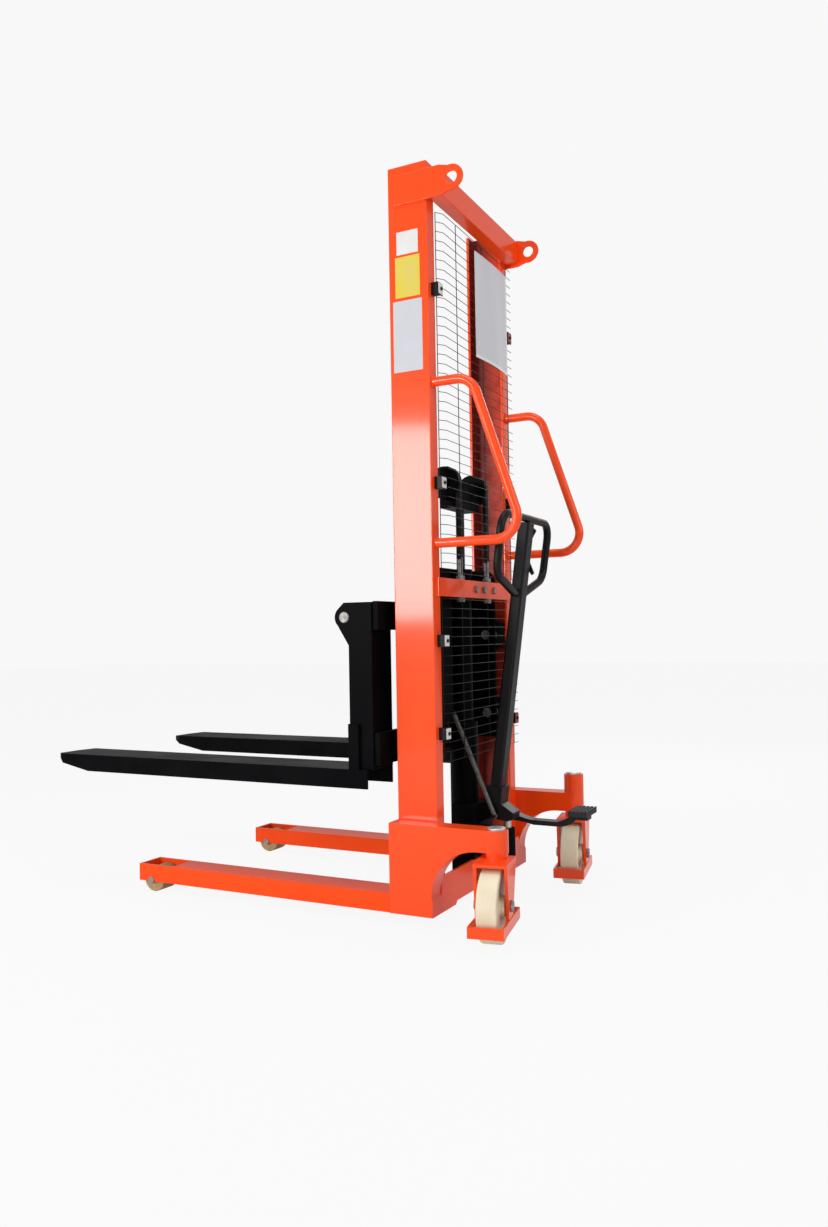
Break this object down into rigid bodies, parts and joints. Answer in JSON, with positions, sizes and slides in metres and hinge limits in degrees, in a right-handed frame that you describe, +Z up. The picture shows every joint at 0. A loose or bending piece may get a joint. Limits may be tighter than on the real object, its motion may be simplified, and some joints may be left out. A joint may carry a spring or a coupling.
{
  "type": "hand pallet stacker",
  "caption": "Manual hydraulic pallet stacker with a channel mast, chain-hung fork carriage, support legs, swivel casters, a pump tiller and foot pedal.",
  "frame": {"origin": "middle of the whole machine on the ground", "axes": "+Z up, forks point along -Y, operator stands at +Y, +X is the machine's left"},
  "size_m": [0.8184, 1.614, 1.98],
  "materials": {
    "red_paint": "glossy red-orange paint",
    "black_paint": "satin black paint",
    "zinc_steel": "zinc-plated steel",
    "oiled_chain": "oiled leaf chain",
    "nylon": "cream nylon",
    "pedal_rubber": "ribbed rubber",
    "clear_film": "blank plastic sleeve"
  },
  "bodies": {
    "chassis": {"post_left": "red_paint", "post_right": "red_paint", "cheek_left": "red_paint", "cheek_right": "red_paint", "sleeve_caps": "zinc_steel", "base_rear_plate": "red_paint", "base_floor": "red_paint", "leg_left": "red_paint", "leg_right": "red_paint", "leg_axles": "zinc_steel", "top_beam": "red_paint", "mid_beam": "red_paint", "lifting_lugs": "red_paint", "handle_left": "red_paint", "handle_right": "red_paint", "guard_panels": "black_paint", "guard_clips": "zinc_steel", "document_sleeve": "clear_film", "lift_cylinder": "black_paint", "cylinder_gland": "zinc_steel", "chain_rear": "oiled_chain", "chain_anchors": "zinc_steel", "pump_body": "black_paint", "rocker_pin": "zinc_steel", "tension_spring": "zinc_steel"},
    "crosshead": {"piston_rod": "zinc_steel", "crosshead_yoke": "black_paint", "pulley_pins": "zinc_steel", "chain_wraps": "oiled_chain", "chain_front": "oiled_chain"},
    "pulley_left_body": {"pulley_left": "zinc_steel"},
    "pulley_right_body": {"pulley_right": "zinc_steel"},
    "carriage": {"carriage_back": "black_paint", "carriage_sides": "black_paint", "carriage_crossbars": "black_paint", "shaft_brackets": "black_paint", "fork_shaft": "zinc_steel", "chain_blocks": "black_paint", "roller_pins": "zinc_steel"},
    "roller_upper_left_body": {"roller_upper_left": "zinc_steel"},
    "roller_upper_right_body": {"roller_upper_right": "zinc_steel"},
    "roller_lower_left_body": {"roller_lower_left": "zinc_steel"},
    "roller_lower_right_body": {"roller_lower_right": "zinc_steel"},
    "fork_left_body": {"fork_left": "black_paint"},
    "fork_right_body": {"fork_right": "black_paint"},
    "load_roller_left_body": {"load_roller_left": "nylon"},
    "load_roller_right_body": {"load_roller_right": "nylon"},
    "caster_left": {"caster_yoke_left": "red_paint", "caster_axle_left": "zinc_steel"},
    "caster_right": {"caster_yoke_right": "red_paint", "caster_axle_right": "zinc_steel"},
    "caster_wheel_left_body": {"caster_wheel_left": "nylon"},
    "caster_wheel_right_body": {"caster_wheel_right": "nylon"},
    "rocker": {"pump_rocker": "black_paint", "tiller_tube": "black_paint", "tiller_loop": "black_paint", "pedal_arm": "black_paint", "pedal_pad": "pedal_rubber"},
    "plunger": {"pump_plunger": "zinc_steel"},
    "lever": {"control_lever": "black_paint"}
  },
  "joints": [
    {"name": "lift", "type": "slide", "parent": "chassis", "child": "crosshead", "axis": [0, 0, 1], "range_m": [-0.1515, 0.6025], "deforming": ["chain_rear"]},
    {"name": "carriage_lift", "type": "slide", "parent": "crosshead", "child": "carriage", "axis": [0, 0, 1], "range_m": [-0.1515, 0.6025], "deforming": ["chain_front"]},
    {"name": "pulley_left_turn", "type": "hinge", "parent": "crosshead", "child": "pulley_left_body", "pos_m": [0.04868, 0.451, 1.163], "axis": [1, 0, 0], "range_deg": [-865, 218]},
    {"name": "pulley_right_turn", "type": "hinge", "parent": "crosshead", "child": "pulley_right_body", "pos_m": [-0.13732, 0.451, 1.163], "axis": [1, 0, 0], "range_deg": [-865, 218]},
    {"name": "roller_upper_left_turn", "type": "hinge", "parent": "carriage", "child": "roller_upper_left_body", "pos_m": [0.20568, 0.44, 0.74], "axis": [1, 0, 0], "continuous": true},
    {"name": "roller_upper_right_turn", "type": "hinge", "parent": "carriage", "child": "roller_upper_right_body", "pos_m": [-0.29432, 0.44, 0.74], "axis": [1, 0, 0], "continuous": true},
    {"name": "roller_lower_left_turn", "type": "hinge", "parent": "carriage", "child": "roller_lower_left_body", "pos_m": [0.20568, 0.44, 0.505], "axis": [1, 0, 0], "continuous": true},
    {"name": "roller_lower_right_turn", "type": "hinge", "parent": "carriage", "child": "roller_lower_right_body", "pos_m": [-0.29432, 0.44, 0.505], "axis": [1, 0, 0], "continuous": true},
    {"name": "fork_left_slide", "type": "slide", "parent": "carriage", "child": "fork_left_body", "axis": [1, 0, 0], "range_m": [-0.16, 0]},
    {"name": "fork_right_slide", "type": "slide", "parent": "carriage", "child": "fork_right_body", "axis": [1, 0, 0], "range_m": [0, 0.16]},
    {"name": "load_roller_left_turn", "type": "hinge", "parent": "chassis", "child": "load_roller_left_body", "pos_m": [0.24118, -0.416, 0.036], "axis": [1, 0, 0], "continuous": true},
    {"name": "caster_left_swivel", "type": "hinge", "parent": "chassis", "child": "caster_left", "pos_m": [0.26168, 0.673, 0], "axis": [0, 0, 1], "continuous": true},
    {"name": "caster_left_roll", "type": "hinge", "parent": "caster_left", "child": "caster_wheel_left_body", "pos_m": [0.306, 0.68081, 0.09], "axis": [-0.1736, 0.9848, 0], "continuous": true},
    {"name": "load_roller_right_turn", "type": "hinge", "parent": "chassis", "child": "load_roller_right_body", "pos_m": [-0.32982, -0.416, 0.036], "axis": [1, 0, 0], "continuous": true},
    {"name": "caster_right_swivel", "type": "hinge", "parent": "chassis", "child": "caster_right", "pos_m": [-0.35032, 0.673, 0], "axis": [0, 0, 1], "continuous": true},
    {"name": "caster_right_roll", "type": "hinge", "parent": "caster_right", "child": "caster_wheel_right_body", "pos_m": [-0.306, 0.68081, 0.09], "axis": [-0.1736, 0.9848, 0], "continuous": true},
    {"name": "pump_stroke", "type": "hinge", "parent": "chassis", "child": "rocker", "pos_m": [-0.04432, 0.545, 0.253], "axis": [-1, 0, 0], "range_deg": [0, 25], "stiffness_Nm_per_rad": 90, "springref_deg": -22.92, "deforming": ["tension_spring"]},
    {"name": "plunger_stroke", "type": "slide", "parent": "chassis", "child": "plunger", "axis": [0, 0, -1], "range_m": [0, 0.0236]},
    {"name": "lever_swing", "type": "hinge", "parent": "rocker", "child": "lever", "pos_m": [-0.07332, 0.63896, 0.9507], "axis": [1, 0, 0], "range_deg": [0, 12], "stiffness_Nm_per_rad": 2, "springref_deg": -5.73}
  ],
  "couplings": [
    {"joint": "carriage_lift", "follows": "lift", "ratio": 1},
    {"joint": "pulley_left_turn", "follows": "lift", "rad_per_m": -25},
    {"joint": "pulley_right_turn", "follows": "lift", "rad_per_m": -25},
    {"joint": "plunger_stroke", "follows": "pump_stroke", "m_per_rad": 0.053}
  ]
}
